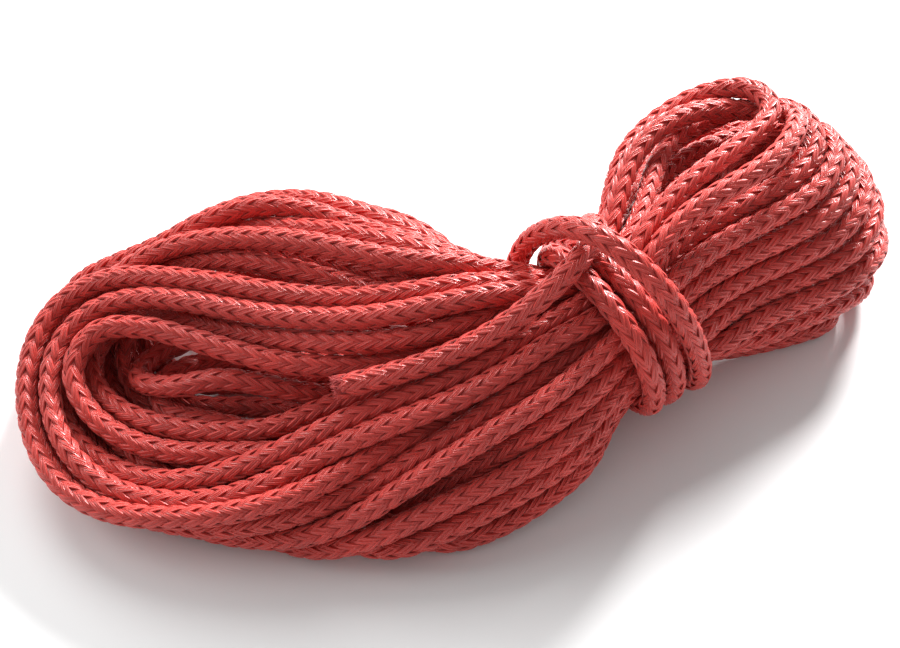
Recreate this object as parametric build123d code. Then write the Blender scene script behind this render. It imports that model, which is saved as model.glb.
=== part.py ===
from build123d import *
import os
from math import cos, sin, pi, tan, radians

# A dock line: one hollow single-braid rope, folded into a hank, tied round its
# waist with three turns of its own end, with the end tucked back along it.
# Origin: the middle of the ground that the hank covers. +X runs along the hank
# from its near bight to its far bight, +Z is up. Millimetres.

# ---- driving dimensions ----
ROPE_D = 8.0            # diameter of the line
HANK_TURNS = 15         # full turns folded into the hank
TIE_TURNS = 3           # turns of the tie, the last one loose
CUT_END = 4.0           # length of the cut end beyond the last straight run
ARC_SHARE = 0.45        # share of the shorter run that an arc of the route uses
WAIST_FROM = 2.3       # where the tied waist begins and ends along X
WAIST_TO = 79.3

# ---- outer shape of the hank, section by section ----
# x of the section, middle (y, z), and the distance from the middle to the outside
# every 15 degrees, counted from +Y towards +Z
SECTIONS = [
    (-154.5, 0.8, 18.0, [9.7, 10.5, 11.1, 6.6, 4.8, 3.9, 3.6, 3.5, 3.6, 4.1, 5.1, 7.4, 10.6, 8.6, 6.9, 6.3, 5.4, 5.0, 4.9, 5.2, 6.0, 7.7, 9.7, 9.1]),
    (-151.7, 0.5, 17.7, [19.7, 21.6, 22.7, 12.7, 9.2, 7.6, 6.9, 6.7, 7.1, 8.0, 9.9, 14.4, 22.0, 17.7, 14.3, 12.5, 10.7, 10.1, 10.2, 11.1, 13.0, 14.7, 18.1, 19.7]),
    (-146.7, 2.5, 17.2, [32.6, 30.7, 31.2, 20.5, 16.2, 13.0, 11.7, 11.3, 11.8, 13.5, 16.8, 23.6, 37.4, 28.8, 22.8, 18.1, 15.8, 15.5, 14.7, 15.4, 17.4, 21.7, 34.3, 38.6]),
    (-139.7, 6.6, 18.5, [47.6, 36.8, 33.5, 23.7, 17.6, 14.6, 13.7, 12.8, 13.4, 15.1, 18.7, 27.0, 48.2, 38.4, 29.8, 26.2, 21.4, 19.2, 18.5, 19.2, 21.4, 26.2, 32.2, 43.4]),
    (-129.7, 4.5, 20.7, [51.8, 43.9, 38.7, 24.8, 18.6, 15.3, 13.7, 13.3, 13.8, 15.5, 19.1, 27.2, 51.4, 45.9, 41.4, 29.3, 23.9, 21.4, 18.6, 18.8, 20.5, 24.3, 33.2, 45.1]),
    (-118.7, 3.1, 22.5, [52.8, 48.9, 40.0, 26.3, 19.3, 16.0, 14.5, 14.1, 14.7, 16.5, 20.5, 29.6, 56.5, 52.3, 45.0, 31.8, 26.0, 23.3, 22.5, 23.3, 26.0, 31.8, 45.0, 53.2]),
    (-107.7, 3.3, 23.9, [60.5, 50.6, 42.8, 30.4, 22.0, 18.2, 16.4, 16.0, 16.6, 18.7, 23.2, 33.4, 61.3, 56.3, 43.8, 31.5, 25.7, 23.0, 22.2, 23.0, 27.6, 31.4, 47.9, 61.1]),
    (-96.7, 4.0, 26.0, [62.1, 51.7, 44.7, 31.9, 24.6, 20.0, 18.0, 17.4, 18.0, 20.1, 24.7, 35.0, 63.7, 64.5, 47.6, 34.3, 28.0, 25.1, 24.3, 26.9, 27.7, 33.3, 47.1, 63.4]),
    (-85.7, 4.0, 27.3, [62.0, 54.5, 47.7, 34.4, 26.4, 22.0, 19.0, 18.4, 19.1, 21.3, 26.2, 37.1, 65.0, 68.7, 54.7, 35.6, 28.7, 25.6, 24.5, 25.2, 27.9, 33.7, 48.1, 60.6]),
    (-74.7, 1.8, 28.8, [64.5, 57.6, 51.2, 37.6, 27.3, 22.7, 21.3, 19.7, 20.1, 22.2, 26.8, 36.9, 62.4, 69.3, 57.7, 37.8, 30.6, 27.3, 26.2, 27.0, 30.9, 35.6, 49.2, 58.8]),
    (-63.7, -0.8, 29.6, [68.6, 61.6, 51.8, 40.5, 29.3, 24.9, 22.6, 21.9, 22.0, 23.9, 28.3, 37.7, 57.9, 72.2, 56.0, 39.2, 31.9, 28.5, 27.5, 28.4, 34.2, 36.8, 49.4, 56.2]),
    (-52.7, -3.3, 30.7, [69.6, 62.3, 48.9, 40.0, 31.2, 25.9, 23.5, 23.3, 23.0, 24.9, 24.7, 39.0, 55.0, 71.3, 57.5, 40.4, 32.9, 29.4, 28.4, 29.3, 35.4, 37.4, 46.6, 53.7]),
    (-41.7, -7.5, 31.9, [67.3, 61.0, 45.9, 38.3, 32.6, 27.3, 25.0, 24.9, 24.4, 26.2, 21.7, 41.1, 56.8, 70.2, 56.2, 40.4, 33.1, 29.7, 28.8, 29.9, 34.1, 37.5, 43.4, 50.4]),
    (-30.7, -11.0, 31.8, [58.1, 56.8, 45.1, 38.4, 35.4, 29.2, 26.9, 25.8, 25.7, 20.7, 21.2, 40.4, 53.8, 66.9, 59.5, 41.3, 33.4, 29.7, 28.5, 29.3, 33.2, 35.8, 41.5, 46.2]),
    (-19.7, -14.5, 31.8, [51.5, 53.9, 43.2, 37.4, 35.5, 30.7, 29.9, 27.8, 21.2, 19.2, 34.0, 40.9, 50.2, 62.6, 59.8, 41.5, 33.4, 29.7, 28.4, 29.1, 32.9, 33.4, 36.1, 40.5]),
    (-8.7, -18.9, 32.6, [46.6, 47.9, 41.2, 35.7, 33.1, 30.2, 29.7, 20.2, 18.2, 27.5, 31.4, 40.1, 45.2, 55.1, 59.2, 41.7, 34.0, 30.1, 28.8, 29.5, 33.5, 32.3, 33.6, 37.7]),
    (2.3, -25.0, 33.2, [45.3, 41.1, 36.3, 36.1, 32.1, 31.1, 19.7, 19.2, 23.9, 25.3, 29.1, 33.4, 38.1, 46.4, 52.2, 40.5, 34.4, 29.8, 28.5, 29.1, 33.1, 31.9, 33.0, 36.8]),
    (13.3, -29.2, 33.2, [30.7, 31.7, 33.7, 32.8, 31.3, 25.2, 23.5, 22.9, 22.2, 23.4, 26.8, 27.4, 32.0, 36.7, 41.9, 36.9, 31.3, 28.4, 27.1, 27.7, 30.4, 31.4, 31.7, 30.7]),
    (24.3, -27.5, 33.8, [30.4, 27.2, 27.7, 26.7, 24.7, 24.4, 22.2, 22.4, 21.5, 23.4, 23.6, 25.9, 28.6, 31.5, 36.1, 33.1, 28.1, 25.2, 23.8, 24.2, 27.2, 27.2, 29.8, 30.3]),
    (35.3, -20.9, 34.4, [27.6, 28.1, 26.2, 23.2, 21.2, 21.2, 20.7, 19.7, 19.7, 21.2, 24.2, 26.0, 28.7, 29.8, 33.3, 29.1, 26.1, 22.4, 18.7, 18.2, 19.7, 24.2, 28.0, 27.7]),
    (46.3, -9.1, 37.2, [19.7, 20.7, 23.2, 30.5, 26.3, 24.6, 24.4, 23.3, 22.2, 22.7, 24.7, 27.7, 31.2, 31.2, 29.2, 25.7, 23.7, 24.3, 24.0, 25.4, 22.7, 20.2, 19.2, 19.2]),
    (57.3, 1.5, 39.7, [34.9, 38.6, 39.1, 34.0, 28.6, 26.3, 26.3, 27.5, 28.9, 27.8, 30.4, 31.9, 36.7, 37.7, 38.2, 35.9, 30.6, 25.7, 22.2, 21.7, 24.9, 24.7, 26.3, 29.5]),
    (68.3, 11.0, 38.2, [43.8, 41.5, 43.3, 40.2, 33.1, 30.5, 30.3, 32.2, 35.2, 32.8, 33.7, 35.2, 40.5, 43.7, 41.2, 38.7, 35.3, 30.0, 27.7, 27.5, 30.0, 30.1, 33.7, 40.2]),
    (79.3, 16.1, 37.8, [45.7, 43.8, 46.4, 41.6, 34.8, 32.4, 33.2, 34.9, 38.1, 34.2, 34.7, 35.7, 40.8, 49.1, 45.5, 47.4, 37.7, 32.1, 29.7, 29.5, 31.6, 34.8, 42.9, 49.8]),
    (90.3, 22.7, 37.6, [43.3, 41.1, 41.7, 40.0, 35.0, 33.1, 34.7, 36.0, 41.3, 36.9, 36.2, 37.6, 42.4, 49.8, 51.0, 53.2, 41.0, 36.7, 35.4, 36.6, 37.8, 40.0, 46.5, 51.0]),
    (101.3, 26.0, 38.0, [41.7, 38.8, 38.7, 41.6, 36.0, 34.0, 34.7, 36.7, 40.6, 35.9, 35.2, 37.1, 42.1, 50.4, 52.5, 50.9, 41.5, 37.2, 35.9, 39.3, 38.5, 43.0, 49.4, 49.2]),
    (112.3, 27.4, 37.9, [38.5, 34.9, 34.2, 35.6, 37.8, 35.7, 34.6, 38.2, 34.4, 33.0, 33.6, 35.8, 40.6, 48.8, 52.0, 50.3, 41.2, 37.0, 35.8, 37.1, 39.0, 45.0, 49.7, 46.5]),
    (123.3, 27.8, 34.8, [37.0, 32.6, 31.2, 33.1, 31.7, 34.1, 31.1, 30.1, 30.3, 31.2, 33.8, 36.1, 40.6, 45.8, 49.3, 49.2, 37.9, 36.0, 34.8, 33.5, 36.8, 44.1, 48.0, 46.5]),
    (139.7, 25.7, 27.8, [32.0, 30.5, 26.4, 24.5, 25.0, 25.1, 25.2, 27.5, 26.6, 28.4, 28.7, 31.6, 36.8, 35.4, 37.8, 31.8, 28.3, 27.1, 26.0, 28.8, 29.6, 36.5, 42.2, 36.7]),
    (146.7, 27.2, 24.0, [23.6, 20.5, 19.3, 19.5, 21.6, 21.2, 21.8, 23.2, 22.0, 23.0, 24.8, 26.1, 29.0, 29.3, 33.1, 27.9, 25.1, 22.9, 21.9, 22.6, 25.0, 30.4, 33.4, 25.9]),
    (151.7, 27.2, 20.5, [14.9, 13.6, 13.7, 12.0, 11.1, 11.3, 12.2, 13.8, 16.4, 16.0, 17.0, 20.2, 18.6, 11.7, 9.1, 8.0, 7.5, 7.5, 8.3, 9.5, 12.7, 19.0, 23.5, 17.7]),
    (154.5, 27.2, 20.4, [7.0, 6.4, 6.3, 6.8, 6.3, 6.4, 6.9, 7.8, 7.6, 7.5, 7.9, 9.5, 9.5, 6.4, 5.0, 4.4, 4.2, 4.1, 4.6, 5.3, 7.1, 10.6, 11.3, 8.3]),
]

# ---- route of the free stretch: out of the hank, round the waist, over, under and back along it ----
ROUTE_START = (31.2, 9.1, 29.7)
ROUTE = [
    (38.0, 11.3, 20.4), (24.5, 6.8, 38.9), (23.0, -0.7, 58.1), (30.8, -21.1, 62.1),
    (40.2, -40.7, 54.9), (46.7, -49.2, 35.4), (46.3, -40.9, 15.9), (40.1, -17.3, 11.3),
    (32.8, 8.0, 10.5), (28.3, 20.3, 27.7), (30.3, 11.0, 49.6), (36.8, -11.8, 62.2),
    (46.5, -33.7, 58.6), (54.3, -44.0, 38.4), (56.4, -37.5, 15.7), (44.9, -22.4, 2.8),
    (26.7, -6.9, 5.6), (15.6, 6.4, 19.9), (13.7, 9.1, 42.4), (18.1, 2.0, 64.8),
    (29.4, -11.6, 79.4), (43.6, -27.6, 75.1), (56.1, -37.8, 58.8), (64.1, -40.5, 36.4),
    (67.2, -33.5, 14.5), (62.0, -14.1, 4.6), (53.2, 6.0, 12.1), (42.7, 17.4, 31.2),
    (39.1, 12.2, 54.4), (37.9, -6.7, 69.4), (21.2, -22.5, 68.0), (0.9, -29.2, 57.6),
    (-20.2, -31.8, 50.7), (-40.6, -31.8, 46.8), (-52.8, -31.2, 45.1),
]
# runs of the route (counted in ROUTE) in whose middle one stretch ends and the next begins
SPLITS = [8, 16, 26]

os.makedirs("parts", exist_ok=True)


above_ground = Pos(0, 0, 150) * Box(500, 500, 300)


def outline(sec):
    x, y, z, radii = sec
    n = len(radii)
    pts = []
    for i, r in enumerate(radii):
        a = 2 * pi * i / n
        h = z + r * sin(a)
        pts.append((x, y + r * cos(a), h if h > 0.15 else -2.0))
    return Wire.make_polygon([Vector(*p) for p in pts], close=True)


def hank_solid(secs):
    # the part of the loft above the ground, with a flat underside where strands lie on it
    s = Solid.make_loft([outline(q) for q in secs], ruled=True) & above_ground
    return max(s.solids(), key=lambda v: v.volume)


def save(shape, name):
    shape.label = name
    export_step(shape, "parts/" + name + ".step")
    print(name, "volume %.0f mm3" % shape.volume, "valid", shape.is_valid)


near = [s for s in SECTIONS if s[0] <= WAIST_FROM]
waist = [s for s in SECTIONS if WAIST_FROM <= s[0] <= WAIST_TO]
far = [s for s in SECTIONS if s[0] >= WAIST_TO]

# ---- the free stretch ----
points = [Vector(*ROUTE_START)] + [Vector(*p) for p in ROUTE[1:]]
radii = []
for i in range(1, len(points) - 1):
    a = points[i] - points[i - 1]
    b = points[i + 1] - points[i]
    turn = radians(a.get_angle(b))
    radii.append(ARC_SHARE * min(a.length, b.length) / tan(turn / 2))
print("radii", " ".join("%.0f" % r for r in radii), "smallest %.1f" % min(radii))


def stretch(i0, i1, name):
    """The tube from the middle of run i0 to the middle of run i1 of the route."""
    p = points[i0 + 1:i1 + 1]
    rad = radii[i0:i1]
    if i0 > 0:
        p = [(points[i0] + points[i0 + 1]) * 0.5] + p
    else:
        p = [points[0]] + p
    if i1 < len(points) - 2:
        p = p + [(points[i1] + points[i1 + 1]) * 0.5]
    else:
        p = p + [points[-1]]
    path = FilletPolyline(*p, radius=rad)
    start = Plane(origin=path @ 0, z_dir=path % 0)
    tube = sweep(start * Circle(ROPE_D / 2), path=path)
    want = pi * ROPE_D ** 2 / 4 * path.length
    print(name, "length %.1f mm" % path.length, "volume / section x length = %.4f" % (tube.volume / want))
    save(tube, name)
    return path, tube


names = ["tie_turn_1", "tie_turn_2", "tie_loose_turn", "tucked_tail"]
cuts = [0] + SPLITS + [len(points) - 2]
tubes = []
for n in range(len(names)):
    last, tube = stretch(cuts[n], cuts[n + 1], names[n])
    tubes.append(tube)

# ---- the cut end: the last of the line, slightly spread where the yarns fray ----
end = Plane(origin=last @ 1, z_dir=last % 1)
cut = loft([end * Circle(ROPE_D / 2), end.offset(CUT_END * 0.6) * Circle(ROPE_D / 2 + 0.3), end.offset(CUT_END) * Circle(ROPE_D / 2 - 0.4)])
save(cut, "tail_cut_end")


# ---- the hank: the tie presses its grooves into the waist, and the tail lies in a groove ----
def pressed(body, tools):
    for tool in tools:
        body = body - tool
    solids = body.solids() if hasattr(body, "solids") else [body]
    return max(solids, key=lambda s: s.volume)


save(pressed(hank_solid(near), [tubes[-1], cut]), "hank_near_bight")
save(pressed(hank_solid(waist), tubes), "hank_waist")
save(hank_solid(far), "hank_far_bight")
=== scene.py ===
import bpy, math
import numpy as np
from mathutils import Matrix, kdtree


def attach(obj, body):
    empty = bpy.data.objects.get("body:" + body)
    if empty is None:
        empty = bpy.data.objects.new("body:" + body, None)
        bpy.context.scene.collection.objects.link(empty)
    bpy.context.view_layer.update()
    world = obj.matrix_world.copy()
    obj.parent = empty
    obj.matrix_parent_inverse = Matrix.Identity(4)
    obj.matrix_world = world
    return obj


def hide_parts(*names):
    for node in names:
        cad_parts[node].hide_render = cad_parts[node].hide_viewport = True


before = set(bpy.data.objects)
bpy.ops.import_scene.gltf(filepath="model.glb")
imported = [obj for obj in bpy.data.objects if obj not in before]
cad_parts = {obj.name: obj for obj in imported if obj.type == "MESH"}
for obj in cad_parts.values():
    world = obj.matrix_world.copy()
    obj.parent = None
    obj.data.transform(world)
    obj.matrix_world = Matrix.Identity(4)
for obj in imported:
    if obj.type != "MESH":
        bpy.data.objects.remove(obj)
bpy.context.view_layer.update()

# ------------------------------------------------------------------ the line
ROPE_D = 0.008                    # diameter of the line
LEAD = 0.0500                     # length of one turn of a braid strand round the line
EACH_WAY = 8                      # strands that turn each way: sixteen in all
MM = 0.001

# Control points of the line, in millimetres: fifteen turns of the hank, then the
# free stretch, which repeats the route of the CAD part.
HANK_POINTS = [
    (22.0, -17.1, 23.5), (13.0, -16.6, 23.6), (-0.9, -7.3, 24.6), (-12.5, 5.1, 20.9), (-26.1, 15.3, 14.9),
    (-41.2, 25.1, 10.7), (-56.8, 34.9, 8.9), (-73.4, 43.3, 8.4), (-91.5, 46.9, 7.3), (-108.9, 42.3, 5.3),
    (-117.0, 27.0, 4.8), (-110.9, 10.2, 5.1), (-96.3, -0.3, 7.4), (-78.8, -5.9, 10.6), (-62.2, -13.9, 10.7),
    (-47.3, -24.9, 7.8), (-30.6, -33.5, 6.0), (-12.6, -40.0, 5.6), (6.1, -41.5, 8.0), (24.3, -38.7, 12.5),
    (39.0, -30.0, 19.8), (54.6, -21.9, 25.6), (70.7, -14.3, 21.0), (88.9, -13.5, 19.6), (106.7, -10.2, 20.7),
    (123.8, -4.3, 20.2), (137.5, 7.1, 19.7), (142.5, 23.5, 19.8), (131.7, 36.7, 20.2), (114.3, 38.2, 21.0),
    (98.3, 30.5, 22.3), (84.9, 18.4, 23.5), (72.0, 5.7, 24.5), (57.5, -5.2, 24.4), (41.0, -12.9, 20.3),
    (23.7, -14.8, 14.4), (6.6, -11.1, 8.9), (-10.0, -3.3, 7.5), (-26.7, 4.2, 7.2), (-44.0, 9.8, 6.2),
    (-61.9, 13.4, 5.2), (-79.6, 16.5, 6.5), (-96.5, 16.8, 11.2), (-109.7, 7.9, 15.0), (-109.0, -7.4, 17.6),
    (-94.2, -14.8, 18.4), (-78.3, -21.4, 15.4), (-64.7, -31.8, 10.1), (-48.0, -37.7, 9.2), (-30.2, -38.5, 12.3),
    (-12.2, -38.5, 15.9), (5.6, -38.2, 19.6), (22.8, -34.9, 24.5), (39.0, -28.0, 29.3), (53.7, -17.4, 31.4),
    (69.7, -10.2, 28.4), (86.3, -6.3, 22.8), (102.8, -2.5, 17.0), (116.6, 6.9, 12.5), (118.4, 23.3, 10.9),
    (104.5, 32.4, 12.5), (87.9, 29.1, 16.6), (74.2, 19.0, 22.5), (61.9, 6.7, 27.7), (47.4, -3.6, 31.1),
    (30.6, -9.9, 32.2), (13.9, -8.8, 35.7), (-0.1, 0.8, 40.3), (-14.3, 11.2, 43.5), (-29.3, 20.3, 42.4),
    (-43.8, 27.3, 35.9), (-57.8, 33.6, 27.5), (-72.4, 41.6, 22.1), (-88.4, 46.2, 17.9), (-103.8, 42.1, 13.7),
    (-109.3, 28.4, 8.2), (-102.6, 14.5, 4.4), (-86.6, 8.6, 6.1), (-69.1, 5.8, 8.0), (-51.6, 2.2, 8.7),
    (-34.7, -3.5, 8.7), (-18.5, -11.0, 8.7), (-2.3, -17.7, 11.0), (14.2, -21.9, 15.3), (31.1, -21.7, 19.8),
    (47.9, -20.1, 17.5), (65.0, -20.9, 16.2), (82.6, -18.9, 12.3), (99.6, -13.3, 12.5), (115.7, -5.6, 12.7),
    (129.0, 5.9, 13.0), (136.1, 21.5, 12.3), (129.1, 36.6, 10.7), (113.3, 43.5, 10.2), (95.9, 42.1, 11.8),
    (80.7, 33.3, 14.2), (68.9, 20.0, 16.5), (58.8, 5.6, 20.3), (44.4, -4.3, 24.1), (27.5, -10.3, 24.9),
    (10.2, -8.5, 28.8), (-5.7, -2.5, 35.2), (-20.1, 5.6, 42.3), (-35.0, 14.7, 45.5), (-49.3, 25.0, 43.9),
    (-62.0, 36.3, 39.1), (-75.0, 46.3, 32.4), (-89.6, 52.6, 25.2), (-104.9, 50.0, 17.4), (-116.0, 37.8, 12.6),
    (-120.1, 21.1, 11.5), (-115.6, 4.8, 9.8), (-107.3, -9.9, 8.5), (-97.2, -23.5, 9.4), (-84.2, -33.9, 13.0),
    (-69.1, -41.5, 16.2), (-56.2, -52.8, 13.6), (-43.0, -63.0, 7.8), (-27.8, -69.9, 4.3), (-10.4, -68.7, 6.5),
    (6.7, -63.6, 10.0), (22.7, -55.9, 13.7), (33.0, -42.5, 19.3), (45.9, -33.5, 23.8), (60.8, -29.2, 24.6),
    (75.8, -29.7, 27.8), (90.1, -21.2, 27.5), (107.3, -16.9, 27.3), (124.7, -13.1, 27.9), (139.9, -4.4, 27.3),
    (148.8, 9.8, 22.9), (152.3, 25.1, 15.3), (150.5, 41.1, 8.4), (142.1, 55.9, 5.0), (127.5, 65.2, 6.3),
    (110.6, 66.8, 10.8), (94.5, 61.2, 16.1), (81.2, 49.9, 20.4), (71.1, 35.1, 23.6), (62.5, 19.1, 25.8),
    (50.1, 6.1, 26.5), (33.2, -0.3, 22.9), (15.5, -3.9, 24.1), (2.8, 8.5, 29.6), (-4.7, 23.6, 37.3),
    (-16.1, 36.1, 41.0), (-29.8, 46.5, 39.2), (-43.9, 56.0, 35.0), (-58.7, 63.6, 29.5), (-74.5, 67.2, 22.5),
    (-90.5, 65.7, 15.3), (-105.9, 59.0, 9.6), (-118.1, 46.9, 5.8), (-124.9, 30.6, 4.9), (-124.1, 13.0, 4.9),
    (-119.9, -3.9, 7.2), (-111.0, -18.6, 11.0), (-99.4, -31.6, 13.4), (-86.2, -43.1, 12.0), (-71.9, -52.2, 7.1),
    (-57.8, -62.0, 4.5), (-44.2, -71.6, 9.3), (-27.4, -71.8, 15.7), (-10.1, -68.4, 19.6), (7.1, -63.0, 21.8),
    (23.0, -55.0, 23.6), (34.9, -42.9, 27.2), (49.5, -36.0, 30.3), (64.5, -30.3, 33.7), (78.3, -20.4, 33.2),
    (94.6, -13.6, 32.0), (112.6, -10.3, 33.0), (130.3, -6.1, 35.1), (143.2, 6.1, 36.8), (147.8, 22.8, 33.5),
    (146.9, 39.1, 26.6), (140.3, 54.4, 20.7), (128.0, 66.8, 18.8), (111.6, 72.8, 20.6), (94.5, 69.5, 23.5),
    (80.4, 58.9, 26.2), (70.1, 44.3, 29.1), (62.1, 28.2, 31.7), (52.8, 12.6, 33.3), (36.9, 3.2, 31.1),
    (19.8, -3.6, 30.7), (4.4, 5.5, 37.1), (-7.7, 19.4, 43.7), (-21.0, 30.9, 46.4), (-34.8, 42.0, 46.9),
    (-49.8, 51.8, 45.7), (-66.1, 58.3, 41.2), (-82.1, 61.9, 33.8), (-97.7, 62.5, 25.0), (-112.5, 58.2, 16.3),
    (-125.0, 47.6, 9.7), (-132.5, 31.8, 7.4), (-133.2, 14.1, 8.7), (-128.8, -3.0, 11.4), (-120.5, -18.7, 13.3),
    (-109.3, -32.6, 12.2), (-95.9, -43.2, 7.2), (-82.3, -54.1, 4.1), (-68.3, -64.8, 7.2), (-52.3, -69.3, 14.7),
    (-35.5, -68.5, 21.1), (-18.4, -66.5, 25.3), (-1.2, -63.2, 28.3), (15.2, -57.1, 30.9), (29.5, -48.0, 33.3),
    (43.5, -39.4, 36.4), (57.6, -30.9, 40.1), (71.4, -20.2, 40.2), (87.5, -12.5, 39.3), (105.2, -8.2, 39.7),
    (123.3, -3.9, 42.0), (137.9, 6.6, 44.5), (143.5, 23.4, 43.0), (141.7, 40.4, 38.2), (132.8, 55.1, 33.7),
    (118.1, 64.5, 31.3), (100.4, 66.2, 30.9), (83.3, 61.8, 33.6), (70.5, 49.8, 36.4), (61.9, 34.4, 39.4),
    (55.3, 17.8, 41.3), (47.2, 2.6, 38.3), (31.7, -4.5, 36.0), (13.7, -1.6, 41.2), (-4.4, 11.2, 48.6),
    (-21.5, 21.4, 49.9), (-36.1, 32.2, 49.5), (-50.8, 42.1, 50.8), (-67.8, 46.9, 52.3), (-85.0, 47.4, 47.2),
    (-100.9, 47.4, 38.4), (-116.4, 50.4, 30.4), (-130.7, 53.6, 21.1), (-140.7, 47.2, 9.5), (-142.6, 31.2, 4.7),
    (-140.1, 14.0, 5.1), (-134.6, -2.4, 5.0), (-125.3, -16.6, 5.0), (-111.6, -26.6, 4.9), (-96.0, -34.0, 5.0),
    (-80.0, -40.4, 5.0), (-63.9, -46.4, 4.9), (-47.9, -52.3, 5.0), (-32.8, -55.9, 12.6), (-17.5, -56.6, 22.3),
    (-1.8, -55.5, 31.2), (14.1, -52.4, 37.8), (29.0, -45.0, 40.7), (42.0, -34.0, 41.9), (56.0, -23.9, 44.4),
    (71.1, -14.8, 46.2), (87.9, -8.4, 46.5), (105.8, -3.9, 47.7), (123.3, 2.0, 49.8), (135.6, 15.0, 51.1),
    (138.0, 32.2, 48.3), (130.2, 46.9, 43.2), (114.7, 54.0, 39.6), (97.2, 51.8, 39.1), (81.7, 43.4, 41.7),
    (68.9, 31.3, 45.7), (58.8, 16.4, 47.8), (49.1, 1.1, 45.7), (34.1, -8.2, 42.7), (16.2, -10.3, 42.9),
    (1.3, -2.2, 46.9), (-11.0, 8.0, 53.9), (-26.2, 16.7, 54.3), (-41.2, 26.7, 52.9), (-56.6, 36.1, 48.6),
    (-72.2, 45.5, 43.1), (-88.4, 52.1, 37.2), (-103.8, 53.2, 28.0), (-119.3, 49.3, 19.7), (-135.0, 41.4, 15.4),
    (-145.8, 27.4, 12.2), (-147.5, 10.2, 7.6), (-141.6, -6.7, 5.5), (-131.5, -21.8, 4.9), (-118.9, -35.0, 5.0),
    (-105.0, -46.7, 6.5), (-89.5, -56.7, 9.8), (-72.8, -63.7, 14.1), (-56.2, -64.8, 20.7), (-40.3, -62.2, 28.2),
    (-24.4, -58.9, 34.8), (-8.2, -55.1, 40.3), (8.1, -50.4, 44.2), (23.2, -43.0, 46.6), (37.3, -34.1, 48.6),
    (51.4, -24.8, 51.5), (65.7, -14.3, 53.4), (82.1, -6.4, 54.3), (99.7, -0.8, 55.1), (117.1, 5.4, 56.2),
    (129.9, 18.1, 57.0), (132.9, 35.1, 54.7), (122.5, 45.9, 47.3), (106.9, 42.6, 40.5), (94.2, 30.8, 36.3),
    (84.0, 16.0, 33.3), (72.5, 1.8, 31.4), (56.9, -8.2, 31.4), (39.6, -15.2, 31.5), (21.3, -17.5, 31.0),
    (3.3, -14.5, 31.7), (-13.9, -8.5, 30.4), (-30.2, -0.8, 27.9), (-45.9, 8.0, 24.8), (-61.4, 17.0, 21.6),
    (-77.5, 24.4, 18.1), (-94.7, 25.7, 14.0), (-110.8, 19.3, 14.6), (-116.7, 5.0, 21.2), (-105.4, -5.9, 27.8),
    (-88.4, -8.1, 32.0), (-72.0, -13.0, 27.8), (-55.7, -16.3, 21.7), (-38.1, -14.6, 18.8), (-20.3, -11.3, 17.3),
    (-2.5, -8.8, 16.2), (15.4, -8.0, 17.8), (33.3, -5.7, 17.8), (51.1, -4.6, 15.6), (69.0, -2.4, 17.6),
    (86.3, 1.6, 21.4), (103.9, 4.8, 25.7), (121.0, 9.5, 29.5), (135.4, 19.8, 31.7), (140.5, 36.0, 29.6),
    (129.9, 47.6, 23.3), (112.9, 48.0, 19.2), (97.1, 40.5, 20.3), (84.6, 28.8, 25.3), (73.8, 16.1, 32.1),
    (64.4, 2.0, 38.0), (53.3, -11.6, 39.8), (37.5, -19.9, 40.7), (20.5, -22.9, 44.0), (3.9, -20.0, 44.1),
    (-13.0, -20.1, 41.7), (-30.4, -19.7, 39.4), (-48.1, -17.8, 37.6), (-65.4, -13.1, 37.6), (-81.2, -4.9, 38.1),
    (-95.9, 5.0, 37.9), (-110.6, 14.8, 37.2), (-126.7, 19.5, 34.9), (-136.9, 8.7, 28.5), (-132.7, -6.9, 23.6),
    (-120.9, -19.7, 21.2), (-105.2, -27.9, 20.9), (-87.8, -31.9, 21.7), (-70.4, -35.2, 21.2), (-52.8, -34.6, 23.6),
    (-35.5, -32.0, 27.7), (-18.3, -29.7, 32.0), (-0.7, -28.7, 35.1), (17.3, -28.5, 36.3), (35.1, -27.2, 37.0),
    (51.9, -21.1, 38.6), (67.9, -12.9, 38.4), (84.3, -5.4, 39.6), (100.5, 2.4, 41.6), (115.0, 12.8, 43.0),
    (123.7, 27.7, 41.4), (118.7, 42.7, 35.7), (102.9, 46.2, 30.1), (86.8, 39.2, 28.0), (73.0, 27.6, 30.0),
    (62.4, 13.4, 34.4), (52.7, -1.6, 38.2), (38.0, -12.4, 38.2), (20.5, -16.9, 38.6), (3.0, -13.3, 40.2),
    (-13.5, -6.4, 42.7), (-29.4, 2.0, 45.2), (-45.0, 11.0, 46.5), (-60.5, 20.4, 46.8), (-76.1, 29.5, 45.0),
    (-91.4, 37.1, 39.6), (-105.6, 42.7, 31.4), (-120.0, 42.0, 22.6), (-132.7, 32.8, 16.2), (-141.0, 18.1, 14.0),
    (-142.5, 1.1, 14.9), (-136.1, -15.1, 15.6), (-123.8, -28.6, 16.4), (-107.8, -37.3, 19.0), (-90.6, -39.8, 23.4),
    (-73.6, -39.5, 28.5), (-57.0, -37.6, 33.9), (-40.1, -36.3, 38.9), (-22.8, -36.0, 42.5), (-5.9, -33.2, 46.4),
    (10.3, -27.5, 50.2), (26.4, -21.6, 51.9), (41.9, -15.0, 53.6), (52.7, -3.4, 60.2), (66.1, 7.5, 64.1),
    (82.0, 15.7, 67.1), (98.4, 23.4, 68.9), (112.0, 34.5, 68.8), (109.0, 50.9, 66.5), (92.6, 56.1, 61.3),
    (75.0, 50.8, 57.4), (60.3, 39.8, 54.7), (51.5, 23.8, 50.3), (44.7, 7.0, 43.6), (27.7, -2.7, 42.8),
    (9.3, -3.1, 52.3), (-9.6, -0.6, 58.7), (-27.1, 5.2, 58.7), (-42.3, 14.9, 57.5), (-57.3, 24.6, 55.3),
    (-73.3, 32.6, 52.3), (-89.8, 38.6, 48.1), (-105.8, 41.9, 40.8), (-120.5, 41.1, 31.1), (-135.3, 34.6, 23.9),
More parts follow.
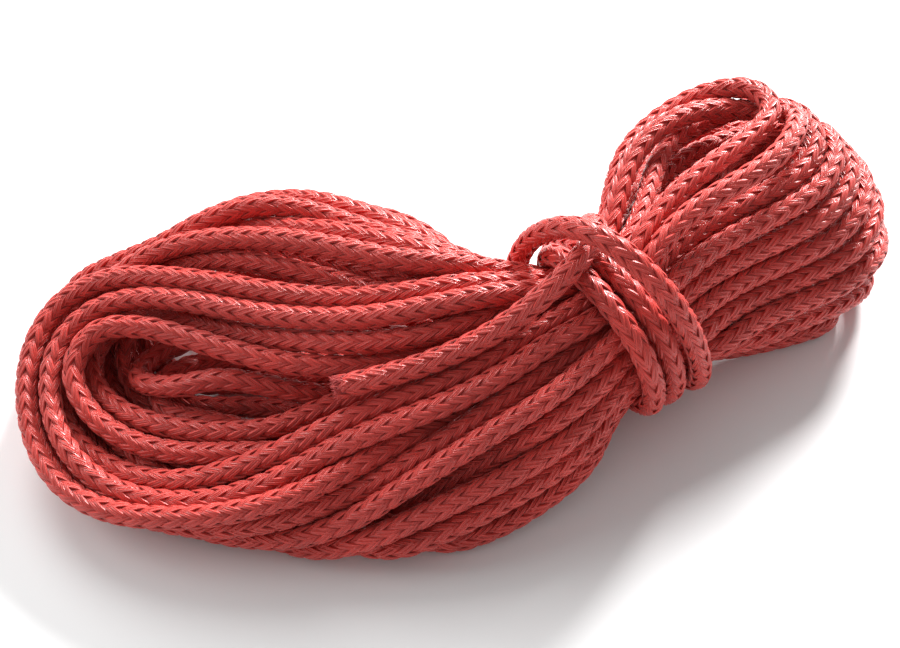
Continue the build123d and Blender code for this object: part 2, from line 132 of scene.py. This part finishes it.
    (-146.7, 22.1, 19.0), (-150.8, 5.8, 14.2), (-146.9, -11.0, 10.3), (-137.3, -25.9, 8.9), (-124.6, -38.4, 9.8),
    (-109.9, -48.8, 12.7), (-93.9, -56.5, 17.0), (-76.8, -58.9, 20.2), (-59.6, -57.0, 21.8), (-42.6, -54.7, 25.6),
    (-26.7, -51.2, 32.2), (-10.6, -46.7, 38.0), (5.8, -40.9, 42.1), (22.0, -34.1, 44.0), (37.6, -26.9, 44.5),
    (50.9, -16.2, 47.9), (64.0, -5.2, 52.1), (79.8, 2.0, 55.7), (97.0, 6.4, 58.1), (113.8, 12.1, 59.4),
    (125.2, 25.3, 60.3), (125.4, 42.5, 58.4), (114.0, 54.3, 53.5), (97.2, 54.3, 49.6), (81.2, 46.8, 50.5),
    (70.0, 33.4, 53.3), (62.0, 17.5, 55.2), (52.8, 2.4, 53.9), (39.0, -8.1, 51.8), (22.7, -15.6, 54.2),
    (4.5, -17.1, 59.7), (-13.7, -16.3, 58.9), (-31.1, -13.7, 54.8), (-47.9, -8.7, 50.7), (-64.3, -1.3, 47.6),
    (-80.0, 7.6, 45.2), (-95.2, 17.2, 43.0), (-110.7, 25.4, 39.9), (-127.3, 27.3, 35.2), (-140.6, 18.0, 29.2),
    (-144.7, 1.3, 24.3), (-141.7, -16.3, 21.0), (-132.4, -31.5, 18.5), (-117.6, -41.6, 18.3), (-101.1, -47.3, 20.1),
    (-84.1, -48.6, 23.5), (-67.8, -46.9, 29.2), (-51.6, -45.0, 35.7), (-34.7, -44.6, 40.4), (-17.6, -43.7, 44.5),
    (-1.0, -40.1, 48.7), (15.0, -33.8, 52.0), (31.5, -27.9, 51.7), (46.8, -20.3, 53.9), (57.0, -9.8, 62.3),
    (71.1, -1.5, 67.1), (87.6, 3.6, 69.9), (103.5, 10.5, 71.5), (115.1, 23.2, 70.3), (120.5, 37.0, 63.2),
    (109.4, 46.5, 57.9), (93.0, 47.1, 62.8), (75.4, 42.8, 63.8), (60.6, 32.6, 61.0), (51.4, 17.9, 56.4),
    (43.2, 2.9, 50.1), (28.4, -6.6, 49.2), (11.6, -10.1, 54.8), (-6.9, -8.9, 57.9), (-24.7, -6.9, 55.8),
    (-41.9, -2.7, 52.4), (-58.3, 4.3, 49.8), (-73.9, 13.0, 47.9), (-89.0, 22.2, 45.7), (-104.2, 30.5, 42.7),
    (-119.8, 36.7, 38.9), (-135.7, 35.9, 33.4), (-147.1, 24.4, 27.8), (-151.9, 8.0, 22.9), (-151.5, -9.7, 18.6),
    (-145.6, -26.8, 16.7), (-133.7, -40.6, 17.7), (-118.1, -49.7, 20.5), (-101.3, -55.0, 23.4), (-84.5, -57.6, 26.7),
    (-67.5, -55.9, 28.6), (-50.9, -50.4, 29.5), (-34.3, -44.5, 30.4), (-17.1, -41.5, 31.7), (-0.1, -40.6, 33.0),
    (16.7, -39.2, 34.1), (33.2, -35.8, 34.3), (48.6, -29.1, 34.5), (62.9, -21.7, 30.8), (75.9, -23.0, 20.5),
    (92.2, -21.7, 17.6), (109.5, -16.3, 17.2), (127.2, -11.1, 15.2), (141.7, -1.8, 10.5), (145.2, 14.9, 5.7),
    (139.8, 32.2, 5.0), (128.2, 45.9, 7.5), (112.1, 52.4, 12.8), (95.5, 51.8, 20.7), (81.1, 45.1, 29.6),
    (71.1, 31.9, 37.2), (65.2, 15.1, 42.0), (57.4, -1.1, 45.4), (43.5, -12.4, 46.3), (25.6, -15.9, 46.2),
    (8.7, -15.4, 50.2), (-8.0, -19.5, 51.4), (-25.6, -20.2, 48.8), (-42.9, -16.1, 45.7), (-59.3, -8.5, 42.2),
    (-74.4, 0.7, 37.8), (-87.5, 12.2, 33.2), (-99.3, 24.7, 28.5), (-113.4, 33.0, 23.0), (-127.9, 27.3, 17.9),
    (-131.1, 10.8, 17.9), (-123.6, -4.8, 20.0), (-109.6, -16.0, 21.3), (-93.1, -23.0, 22.0), (-75.5, -26.0, 22.6),
    (-58.3, -23.5, 25.4), (-40.9, -21.2, 27.8), (-23.3, -21.0, 29.3), (-5.6, -22.5, 29.7), (11.9, -24.6, 28.8),
    (29.5, -23.4, 27.0), (46.4, -17.2, 25.5), (61.8, -12.0, 17.5), (75.9, -14.3, 6.7), (92.6, -13.8, 4.5),
    (109.8, -13.5, 5.5), (126.5, -10.4, 4.9), (131.4, 6.0, 5.0), (124.4, 22.7, 5.0), (110.7, 34.6, 4.9),
    (92.7, 36.4, 5.1), (74.5, 33.2, 6.2), (54.8, 23.6, 9.7),
]
FREE_POINTS = [
    (38.0, 11.3, 20.4), (24.5, 6.8, 38.9), (23.0, -0.7, 58.1), (30.8, -21.1, 62.1), (40.2, -40.7, 54.9),
    (46.7, -49.2, 35.4), (46.3, -40.9, 15.9), (40.1, -17.3, 11.3), (32.8, 8.0, 10.5), (28.3, 20.3, 27.7),
    (30.3, 11.0, 49.6), (36.8, -11.8, 62.2), (46.5, -33.7, 58.6), (54.3, -44.0, 38.4), (56.4, -37.5, 15.7),
    (44.9, -22.4, 2.8), (26.7, -6.9, 5.6), (15.6, 6.4, 19.9), (13.7, 9.1, 42.4), (18.1, 2.0, 64.8),
    (29.4, -11.6, 79.4), (43.6, -27.6, 75.1), (56.1, -37.8, 58.8), (64.1, -40.5, 36.4), (67.2, -33.5, 14.5),
    (62.0, -14.1, 4.6), (53.2, 6.0, 12.1), (42.7, 17.4, 31.2), (39.1, 12.2, 54.4), (37.9, -6.7, 69.4),
    (21.2, -22.5, 68.0), (0.9, -29.2, 57.6), (-20.2, -31.8, 50.7), (-40.6, -31.8, 46.8), (-52.8, -31.2, 45.1),
]

control = [(x * MM, y * MM, z * MM) for x, y, z in HANK_POINTS + FREE_POINTS]


def route_curve(points, resolution):
    """The line as one NURBS spline."""
    data = bpy.data.curves.new("dock_line_route", "CURVE")
    data.dimensions = "3D"
    data.resolution_u = resolution
    spline = data.splines.new("NURBS")
    spline.points.add(len(points) - 1)
    for p, c in zip(spline.points, points):
        p.co = (c[0], c[1], c[2], 1.0)
    spline.order_u = 3
    spline.use_endpoint_u = True
    obj = bpy.data.objects.new("dock_line_route", data)
    bpy.context.scene.collection.objects.link(obj)
    return obj


route = route_curve(control, 16)
bpy.context.view_layer.update()
line_mesh = bpy.data.meshes.new_from_object(route.evaluated_get(bpy.context.evaluated_depsgraph_get()))
line = np.empty(len(line_mesh.vertices) * 3)
line_mesh.vertices.foreach_get("co", line)
line = line.reshape(-1, 3)
bpy.data.meshes.remove(line_mesh)
bpy.data.objects.remove(route)
step = np.linalg.norm(np.diff(line, axis=0), axis=1)
line = line[np.r_[True, step > 1e-7]]
along = np.r_[0.0, np.cumsum(np.linalg.norm(np.diff(line, axis=0), axis=1))]
LENGTH = float(along[-1])

# evenly spaced stations with a frame that doesn't twist
STEP = 0.0010
n_st = int(LENGTH / STEP) + 1
s_st = np.linspace(0, LENGTH, n_st)
C = np.stack([np.interp(s_st, along, line[:, i]) for i in range(3)], -1)
for _ in range(2):                # rounds off what is left of the spline's facets
    C[1:-1] = 0.25 * C[:-2] + 0.5 * C[1:-1] + 0.25 * C[2:]
T = np.gradient(C, axis=0)
T /= np.linalg.norm(T, axis=1)[:, None]
N = np.empty_like(T)
v = np.cross(T[0], (0.0, 0.0, 1.0))
N[0] = v / np.linalg.norm(v)
for i in range(1, n_st):
    v = N[i - 1] - T[i] * float(N[i - 1] @ T[i])
    N[i] = v / math.sqrt(float(v @ v))
B = np.cross(T, N)

# where two stretches press on each other, both flatten along the plane between them
FLAT = 7
tree = kdtree.KDTree(n_st)
for i in range(n_st):
    tree.insert(C[i], i)
tree.balance()
near_dir = np.zeros((n_st, FLAT, 3))
near_half = np.full((n_st, FLAT), 1.0)
for i in range(0, n_st):
    found = []
    for co, j, dist in tree.find_range(C[i], ROPE_D * 1.08):
        if abs(j - i) * STEP < 0.022:
            continue
        found.append((dist, j))
    found.sort()
    kept = []
    for dist, j in found:
        if all(abs(j - q) * STEP > 0.012 for q in kept):
            kept.append(j)
            d = C[j] - C[i]
            d = d - T[i] * float(d @ T[i])
            r = math.sqrt(float(d @ d))
            if r > 1e-5:
                k = len(kept) - 1
                near_dir[i, k] = d / r
                near_half[i, k] = r / 2
        if len(kept) == FLAT:
            break

rng = np.random.default_rng(7)


def smooth_noise(n, every, seed):
    g = np.random.default_rng(seed)
    k = int(n / every) + 4
    return np.interp(np.linspace(0, k - 1, n), np.arange(k), g.normal(0, 1, k))


plump = 1.0 + 0.012 * smooth_noise(n_st, 60, 3)      # the hollow line is not perfectly even
oval = 0.030 * smooth_noise(n_st, 90, 4)
oval_at = np.cumsum(0.02 * smooth_noise(n_st, 120, 5))


def place(s, theta, radius, squash=True):
    """Points of the line's own coordinates (distance along, angle, distance out) in space."""
    f = np.clip(s / LENGTH * (n_st - 1), 0, n_st - 1.001)
    i = f.astype(int)
    w = (f - i)[:, None]
    c = C[i] * (1 - w) + C[i + 1] * w
    n = N[i] * (1 - w) + N[i + 1] * w
    b = B[i] * (1 - w) + B[i + 1] * w
    extra = (s - np.clip(s, 0, LENGTH))[:, None]
    c = c + T[i] * extra
    r = radius * plump[i] * (1 + oval[i] * np.cos(2 * (theta - oval_at[i])))
    d = (np.cos(theta) * r)[:, None] * n + (np.sin(theta) * r)[:, None] * b
    if squash:
        for k in range(FLAT):
            t = (d * near_dir[i, k]).sum(1)
            over = np.maximum(0, t - near_half[i, k] + 0.00002)
            d = d - over[:, None] * near_dir[i, k]
    return c + d


# cross-section of one flat strand: across it (-1..1) and out of the line (-1..1)
SECTION = [(-1.0, -0.20), (-0.82, 0.52), (-0.50, 0.86), (-0.20, 0.62), (0.0, 0.30), (0.20, 0.62), (0.50, 0.86), (0.82, 0.52), (1.0, -0.20), (0.55, -0.80), (-0.55, -0.80)]
HALF_WIDTH = 0.00136
HALF_THICK = 0.00050
R_MID = 0.00305                   # middle of the braid's wall
RISE = 0.00040                    # how far a strand moves out and in of it


def ribbon(name, turn, index, rings):
    """One strand of the braid, which goes over two and under two of those that turn the other way."""
    m = len(SECTION)
    s = np.linspace(0.0, LENGTH + 0.0016 * rng.uniform(-1, 1), rings)
    jig = 0.10 * smooth_noise(rings, 9, 100 + index + (50 if turn > 0 else 0))
    theta = turn * 2 * math.pi * s / LEAD + 2 * math.pi * index / EACH_WAY
    wave = np.sin(EACH_WAY / 2 * theta)
    wave = np.tanh(1.7 * wave) / math.tanh(1.7)
    wave = wave if turn > 0 else -wave
    out = R_MID + RISE * wave
    lift = 0.5 + 0.5 * wave       # 1 where the strand is on the outside
    half_w = HALF_WIDTH * (0.90 + 0.12 * lift)
    half_t = HALF_THICK * (0.88 + 0.12 * lift) * (1 + 0.05 * jig)
    lean = math.atan(2 * math.pi * R_MID / LEAD)
    S, A, R = [], [], []
    for across, up in SECTION:
        w = half_w * across
        z = s - turn * w * math.sin(lean)
        a = theta + w * math.cos(lean) / (out + 0.0002)
        S.append(z)
        A.append(a + 0.04 * jig)
        R.append(out + half_t * up)
    S = np.stack(S, 1).reshape(-1)
    A = np.stack(A, 1).reshape(-1)
    R = np.stack(R, 1).reshape(-1)
    co = place(S, A, R)
    base = np.arange(rings - 1)[:, None] * m
    k = np.arange(m)[None, :]
    k2 = (k + 1) % m
    quads = np.stack([base + k, base + m + k, base + m + k2, base + k2], -1).reshape(-1, 4)
    mesh = bpy.data.meshes.new(name)
    nq = len(quads)
    mesh.vertices.add(len(co))
    mesh.vertices.foreach_set("co", co.astype(np.float32).reshape(-1))
    caps = 2
    mesh.loops.add(nq * 4 + caps * m)
    first = quads.astype(np.int32).reshape(-1)
    cap0 = np.arange(m)
    cap1 = (rings - 1) * m + np.arange(m)[::-1]
    mesh.loops.foreach_set("vertex_index", np.r_[first, cap0, cap1].astype(np.int32))
    mesh.polygons.add(nq + caps)
    starts = np.r_[np.arange(nq) * 4, nq * 4, nq * 4 + m].astype(np.int32)
    mesh.polygons.foreach_set("loop_start", starts)
    mesh.polygons.foreach_set("use_smooth", np.ones(nq + caps, bool))
    mesh.update(calc_edges=True)
    # coordinates for the yarn pattern: across the strand, and along it
    uv = mesh.uv_layers.new(name="yarn")
    ring_at = (quads // m)
    side = quads % m
    wrap = np.stack([k + 0 * base, k + 0 * base, k + 1 + 0 * base, k + 1 + 0 * base], -1).reshape(-1, 4)
    u = wrap / m
    vv = (s[ring_at] / math.cos(lean)) * 100.0
    uvs = np.stack([u.reshape(-1), vv.reshape(-1)], -1)
    uvs = np.r_[uvs, np.full((caps * m, 2), 0.5)]
    uv.data.foreach_set("uv", uvs.astype(np.float32).reshape(-1))
    # how far out each point of the braid stands: 1 on a crown, 0 deep in the wall; this value is painted shade,
    # which darkens the colour where a strand dips under its neighbours and on its underside
    painted_shade_tone = np.repeat(0.40 + 0.60 * lift, m) * np.tile(np.array([0.42 + 0.58 * max(0.0, q) / 0.86 for _, q in SECTION]), rings)
    # the red channel carries the painted shade between the strands, the green one a value for each strand
    col = mesh.color_attributes.new("crown", "FLOAT_COLOR", "POINT")
    part = 0.5 + 0.5 * math.sin(7.3 * index + (2.1 if turn > 0 else 0.4))
    col.data.foreach_set("color", np.stack([painted_shade_tone, np.full_like(painted_shade_tone, part), painted_shade_tone, np.ones_like(painted_shade_tone)], -1).astype(np.float32).reshape(-1))
    obj = bpy.data.objects.new(name, mesh)
    bpy.context.scene.collection.objects.link(obj)
    return obj


RINGS = 9000
strands = []
for turn in (1, -1):
    for index in range(EACH_WAY):
        name = "braid_strand_%02d" % (len(strands) + 1)
        strands.append(ribbon(name, turn, index, RINGS))


# ------------------------------------------------------------------ the cut end
def fibres(name, count):
    """Loose ends of yarn that stand out of the cut end."""
    g = np.random.default_rng(11)
    sides = 5
    co, faces = [], []
    for _ in range(count):
        ang = g.uniform(0, 2 * math.pi)
        rad = g.uniform(0.0012, 0.0038)
        long = g.uniform(0.0008, 0.0030)
        spread = g.normal(0, 0.35)
        curl = g.normal(0, 0.5)
        thick = g.uniform(0.00012, 0.00024)
        s0 = LENGTH - 0.0015
        base = len(co)
        rows = 5
        for r in range(rows):
            t = r / (rows - 1)
            s = s0 + (0.0015 + long) * t
            rr = rad + spread * long * t * t
            aa = ang + curl * t * t
            th = thick * (1 - 0.35 * t)
            for q in range(sides):
                b = 2 * math.pi * q / sides
                co.append((s, aa + th * math.cos(b) / max(rr, 0.0008), rr + th * math.sin(b)))
            if r:
                for q in range(sides):
                    q2 = (q + 1) % sides
                    a0 = base + (r - 1) * sides
                    a1 = base + r * sides
                    faces.append((a0 + q, a0 + q2, a1 + q2, a1 + q))
        faces.append(tuple(base + (rows - 1) * sides + q for q in range(sides)))
        faces.append(tuple(base + q for q in reversed(range(sides))))
    co = np.array(co)
    p = place(co[:, 0], co[:, 1], co[:, 2], squash=False)
    mesh = bpy.data.meshes.new(name)
    mesh.from_pydata([tuple(q) for q in p], [], faces)
    mesh.update()
    for f in mesh.polygons:
        f.use_smooth = True
    obj = bpy.data.objects.new(name, mesh)
    bpy.context.scene.collection.objects.link(obj)
    return obj


cut_end = fibres("cut_end_fibres", 150)

# ------------------------------------------------------------------ materials
def link(nt, a, b):
    nt.links.new(a, b)


def rope_material(name):
    mat = bpy.data.materials.new(name)
    mat.use_nodes = True
    nt = mat.node_tree
    nt.nodes.clear()
    out = nt.nodes.new("ShaderNodeOutputMaterial")
    bs = nt.nodes.new("ShaderNodeBsdfPrincipled")
    link(nt, bs.outputs["BSDF"], out.inputs["Surface"])
    uv = nt.nodes.new("ShaderNodeUVMap")
    uv.uv_map = "yarn"
    # filaments: long thin streaks along each strand
    stretch = nt.nodes.new("ShaderNodeMapping")
    stretch.inputs["Scale"].default_value = (26.0, 1.6, 1.0)
    link(nt, uv.outputs["UV"], stretch.inputs["Vector"])
    streak = nt.nodes.new("ShaderNodeTexNoise")
    streak.inputs["Scale"].default_value = 1.0
    streak.inputs["Detail"].default_value = 3.0
    streak.inputs["Roughness"].default_value = 0.6
    link(nt, stretch.outputs["Vector"], streak.inputs["Vector"])
    # the yarns that lie side by side in a strand
    sep = nt.nodes.new("ShaderNodeSeparateXYZ")
    link(nt, uv.outputs["UV"], sep.inputs["Vector"])
    wob = nt.nodes.new("ShaderNodeMath"); wob.operation = "MULTIPLY_ADD"
    link(nt, streak.outputs["Fac"], wob.inputs[0])
    wob.inputs[1].default_value = 0.06
    link(nt, sep.outputs["X"], wob.inputs[2])
    ang = nt.nodes.new("ShaderNodeMath"); ang.operation = "MULTIPLY"
    link(nt, wob.outputs[0], ang.inputs[0])
    ang.inputs[1].default_value = 2 * math.pi * 6
    rib = nt.nodes.new("ShaderNodeMath"); rib.operation = "COSINE"
    link(nt, ang.outputs[0], rib.inputs[0])
    rib2 = nt.nodes.new("ShaderNodeMath"); rib2.operation = "MULTIPLY_ADD"
    link(nt, rib.outputs[0], rib2.inputs[0])
    rib2.inputs[1].default_value = -0.5
    rib2.inputs[2].default_value = 0.5
    height = nt.nodes.new("ShaderNodeMath"); height.operation = "MULTIPLY_ADD"
    link(nt, streak.outputs["Fac"], height.inputs[0])
    height.inputs[1].default_value = 0.8
    link(nt, rib2.outputs[0], height.inputs[2])
    bump = nt.nodes.new("ShaderNodeBump")
    bump.inputs["Strength"].default_value = 0.75
    bump.inputs["Distance"].default_value = 0.00030
    link(nt, height.outputs[0], bump.inputs["Height"])
    link(nt, bump.outputs["Normal"], bs.inputs["Normal"])
    # colour: painted shade from the crown value, darker between the strands and lighter on the crowns; uneven along
    # the line
    crown = nt.nodes.new("ShaderNodeAttribute")
    crown.attribute_name = "crown"
    csep = nt.nodes.new("ShaderNodeSeparateColor")
    link(nt, crown.outputs["Color"], csep.inputs["Color"])
    # painted shade: the dark colour goes where the strands lie deep, the lighter one on the crowns
    ramp = nt.nodes.new("ShaderNodeValToRGB")
    ramp.color_ramp.elements[0].position = 0.10
    ramp.color_ramp.elements[0].color = (0.500, 0.034, 0.026, 1)
    ramp.color_ramp.elements[1].position = 0.85
    ramp.color_ramp.elements[1].color = (0.640, 0.056, 0.044, 1)
    link(nt, csep.outputs["Red"], ramp.inputs["Fac"])
    tex = nt.nodes.new("ShaderNodeTexCoord")
    patch = nt.nodes.new("ShaderNodeTexNoise")
    patch.inputs["Scale"].default_value = 42.0
    patch.inputs["Detail"].default_value = 2.0
    link(nt, tex.outputs["Object"], patch.inputs["Vector"])
    tint = nt.nodes.new("ShaderNodeMix")
    tint.data_type = "RGBA"
    tint.blend_type = "MULTIPLY"
    tint.inputs["Factor"].default_value = 1.0
    shade = nt.nodes.new("ShaderNodeMapRange")
    shade.inputs["From Min"].default_value = 0.3
    shade.inputs["From Max"].default_value = 0.7
    shade.inputs["To Min"].default_value = 0.86
    shade.inputs["To Max"].default_value = 1.08
    link(nt, patch.outputs["Fac"], shade.inputs["Value"])
    fine = nt.nodes.new("ShaderNodeMapRange")
    fine.inputs["From Min"].default_value = 0.3
    fine.inputs["From Max"].default_value = 0.7
    fine.inputs["To Min"].default_value = 0.66
    fine.inputs["To Max"].default_value = 1.38
    link(nt, streak.outputs["Fac"], fine.inputs["Value"])
    both = nt.nodes.new("ShaderNodeMath"); both.operation = "MULTIPLY"
    link(nt, shade.outputs["Result"], both.inputs[0])
    link(nt, fine.outputs["Result"], both.inputs[1])
    grey = nt.nodes.new("ShaderNodeCombineColor")
    for c in ("Red", "Green", "Blue"):
        link(nt, both.outputs[0], grey.inputs[c])
    link(nt, ramp.outputs["Color"], tint.inputs[6])
    link(nt, grey.outputs["Color"], tint.inputs[7])
    link(nt, tint.outputs[2], bs.inputs["Base Color"])
    # waxy filaments: uneven gloss
    gloss = nt.nodes.new("ShaderNodeMapRange")
    gloss.inputs["From Min"].default_value = 0.3
    gloss.inputs["From Max"].default_value = 0.7
    gloss.inputs["To Min"].default_value = 0.44
    gloss.inputs["To Max"].default_value = 0.26
    link(nt, streak.outputs["Fac"], gloss.inputs["Value"])
    link(nt, gloss.outputs["Result"], bs.inputs["Roughness"])
    bs.inputs["IOR"].default_value = 1.49
    bs.inputs["Sheen Weight"].default_value = 0.12
    bs.inputs["Sheen Roughness"].default_value = 0.4
    bs.inputs["Sheen Tint"].default_value = (1.0, 0.62, 0.58, 1)
    return mat


def fibre_material(name):
    mat = bpy.data.materials.new(name)
    mat.use_nodes = True
    nt = mat.node_tree
    bs = nt.nodes["Principled BSDF"]
    tex = nt.nodes.new("ShaderNodeTexCoord")
    noise = nt.nodes.new("ShaderNodeTexNoise")
    noise.inputs["Scale"].default_value = 900.0
    link(nt, tex.outputs["Object"], noise.inputs["Vector"])
    ramp = nt.nodes.new("ShaderNodeValToRGB")
    ramp.color_ramp.elements[0].position = 0.3
    ramp.color_ramp.elements[0].color = (0.36, 0.022, 0.024, 1)
    ramp.color_ramp.elements[1].position = 0.7
    ramp.color_ramp.elements[1].color = (0.66, 0.10, 0.09, 1)
    link(nt, noise.outputs["Fac"], ramp.inputs["Fac"])
    link(nt, ramp.outputs["Color"], bs.inputs["Base Color"])
    bump = nt.nodes.new("ShaderNodeBump")
    bump.inputs["Distance"].default_value = 0.0001
    link(nt, noise.outputs["Fac"], bump.inputs["Height"])
    link(nt, bump.outputs["Normal"], bs.inputs["Normal"])
    rough = nt.nodes.new("ShaderNodeMapRange")
    rough.inputs["To Min"].default_value = 0.4
    rough.inputs["To Max"].default_value = 0.65
    link(nt, noise.outputs["Fac"], rough.inputs["Value"])
    link(nt, rough.outputs["Result"], bs.inputs["Roughness"])
    return mat


rope = rope_material("braided_rope")
for obj in strands:
    obj.data.materials.append(rope)
cut_end.data.materials.append(fibre_material("cut_yarn_ends"))

# ------------------------------------------------------------------ pieces and the frame
for obj in strands + [cut_end]:
    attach(obj, "root")
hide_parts("hank_near_bight", "hank_waist", "hank_far_bight", "tie_turn_1", "tie_turn_2", "tie_loose_turn", "tucked_tail")
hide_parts("tail_cut_end")

# ------------------------------------------------------------------ floor, light and camera
bpy.ops.mesh.primitive_plane_add(size=8.0, location=(0, 0, 0))
floor = bpy.context.active_object
floor.name = "studio_floor"
fmat = bpy.data.materials.new("pale_floor")
fmat.use_nodes = True
fb = fmat.node_tree.nodes["Principled BSDF"]
fb.inputs["Base Color"].default_value = (0.90, 0.90, 0.90, 1)
fb.inputs["Roughness"].default_value = 0.85
fb.inputs["Specular IOR Level"].default_value = 0.1
floor.data.materials.append(fmat)

world = bpy.data.worlds.new("studio")
bpy.context.scene.world = world
world.use_nodes = True
world.node_tree.nodes["Background"].inputs["Color"].default_value = (1.0, 1.0, 1.0, 1)
world.node_tree.nodes["Background"].inputs["Strength"].default_value = 0.42


def area(name, at, to, size, power, color=(1, 1, 1)):
    data = bpy.data.lights.new(name, "AREA")
    data.shape = "DISK"
    data.size = size
    data.energy = power
    data.color = color
    obj = bpy.data.objects.new(name, data)
    bpy.context.scene.collection.objects.link(obj)
    at = np.array(at, float)
    z = at - np.array(to, float)
    z /= np.linalg.norm(z)
    x = np.cross((0, 0, 1.0), z)
    x /= np.linalg.norm(x)
    y = np.cross(z, x)
    obj.matrix_world = Matrix(((x[0], y[0], z[0], at[0]), (x[1], y[1], z[1], at[1]), (x[2], y[2], z[2], at[2]), (0, 0, 0, 1)))
    return obj


area("key_right_back", (0.82, 1.00, 0.72), (0.05, 0, 0.03), 0.42, 54.0)
area("fill_left", (-1.1, 0.45, 0.8), (0, 0, 0.03), 1.0, 7.0)
area("top_soft", (-0.25, 1.05, 1.00), (0, 0, 0), 0.9, 13.0)

cam_data = bpy.data.cameras.new("camera")
cam_data.sensor_fit = "HORIZONTAL"
cam_data.sensor_width = 36.0
cam_data.lens = 68.0
cam = bpy.data.objects.new("camera", cam_data)
bpy.context.scene.collection.objects.link(cam)
right = np.array((0.974370, -0.224951, 0.000000))
up = np.array((0.172323, 0.746411, 0.642788))
fwd = np.array((0.144596, 0.626313, -0.766044))
pos = np.array((-92.77, -357.38, 465.27)) * MM
cam.matrix_world = Matrix(((right[0], up[0], -fwd[0], pos[0]), (right[1], up[1], -fwd[1], pos[1]), (right[2], up[2], -fwd[2], pos[2]), (0, 0, 0, 1)))
cam_data.clip_start = 0.01
cam_data.clip_end = 50
bpy.context.scene.camera = cam
bpy.context.scene.view_settings.view_transform = "Standard"

bpy.context.view_layer.update()
